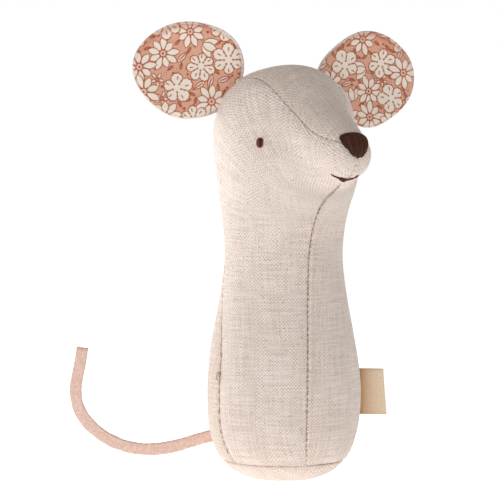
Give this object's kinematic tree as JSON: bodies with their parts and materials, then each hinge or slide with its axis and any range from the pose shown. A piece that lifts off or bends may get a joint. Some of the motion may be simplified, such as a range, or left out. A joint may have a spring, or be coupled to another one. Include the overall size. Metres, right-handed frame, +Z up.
{
  "type": "stuffed mouse rattle",
  "caption": "Upright stuffed linen mouse with a pointed muzzle, round printed ears, a suede tail, a blank ribbon label and a rattle capsule inside.",
  "frame": {"origin": "middle of the flat patch that the mouse stands on", "axes": "+Z up through the body, -Y the way the mouse faces, +X towards the mouse's own left"},
  "size_m": [0.1066, 0.1037, 0.1503],
  "materials": {
    "linen": "natural plain weave",
    "crown_linen": "natural plain weave",
    "printed_cotton": "small floral print",
    "nose_thread": "satin stitch",
    "eye_thread": "satin stitch",
    "seam_thread": "matt cotton",
    "suede": "napped suede lace",
    "ribbon": "woven ribbon",
    "fibre": "loose polyester fibre",
    "shell_plastic": "moulded, translucent white",
    "bead_plastic": "moulded"
  },
  "bodies": {
    "torso": {"right_side_panel": "linen", "left_side_panel": "linen", "crown_and_back_panel": "crown_linen", "base_panel": "linen", "lower_stuffing": "fibre", "upper_stuffing": "fibre", "rattle_shell_lower": "shell_plastic", "rattle_shell_upper": "shell_plastic", "right_eye": "eye_thread", "left_eye": "eye_thread", "nose_stitches": "nose_thread", "mouth_stitches": "eye_thread", "closing_thread": "seam_thread"},
    "right_ear": {"right_ear_front": "printed_cotton", "right_ear_back": "linen"},
    "left_ear": {"left_ear_front": "printed_cotton", "left_ear_back": "linen"},
    "tail": {"tail": "suede"},
    "label": {"label": "ribbon"},
    "bead_1": {"rattle_bead_1": "bead_plastic"},
    "bead_2": {"rattle_bead_2": "bead_plastic"},
    "bead_3": {"rattle_bead_3": "bead_plastic"},
    "bead_4": {"rattle_bead_4": "bead_plastic"},
    "bead_5": {"rattle_bead_5": "bead_plastic"}
  },
  "joints": [
    {"name": "right_ear_bend", "type": "hinge", "parent": "torso", "child": "right_ear", "pos_m": [-0.0185, 0.0055, 0.1265], "axis": [0.3711, -0.1501, 0.9164], "range_deg": [-20, 20], "stiffness_Nm_per_rad": 0.004},
    {"name": "left_ear_bend", "type": "hinge", "parent": "torso", "child": "left_ear", "pos_m": [0.0185, 0.005, 0.1265], "axis": [-0.4002, 0, 0.9164], "range_deg": [-20, 20], "stiffness_Nm_per_rad": 0.004},
    {"name": "tail_swing", "type": "hinge", "parent": "torso", "child": "tail", "pos_m": [0.0002, 0.0251, 0.0114], "axis": [0, 0, 1], "range_deg": [-60, 20], "stiffness_Nm_per_rad": 0.002},
    {"name": "label_flap", "type": "hinge", "parent": "torso", "child": "label", "pos_m": [0.0239, -0.0087, 0.028], "axis": [0, 0, 1], "range_deg": [-40, 40], "stiffness_Nm_per_rad": 0.0005},
    {"name": "bead_1_bounce", "type": "slide", "parent": "torso", "child": "bead_1", "axis": [0, 0, 1], "range_m": [0, 0.0195]},
    {"name": "bead_2_bounce", "type": "slide", "parent": "torso", "child": "bead_2", "axis": [0, 0, 1], "range_m": [0, 0.017]},
    {"name": "bead_3_bounce", "type": "slide", "parent": "torso", "child": "bead_3", "axis": [0, 0, 1], "range_m": [0, 0.017]},
    {"name": "bead_4_bounce", "type": "slide", "parent": "torso", "child": "bead_4", "axis": [0, 0, 1], "range_m": [0, 0.017]},
    {"name": "bead_5_bounce", "type": "slide", "parent": "torso", "child": "bead_5", "axis": [0, 0, 1], "range_m": [0, 0.017]}
  ]
}
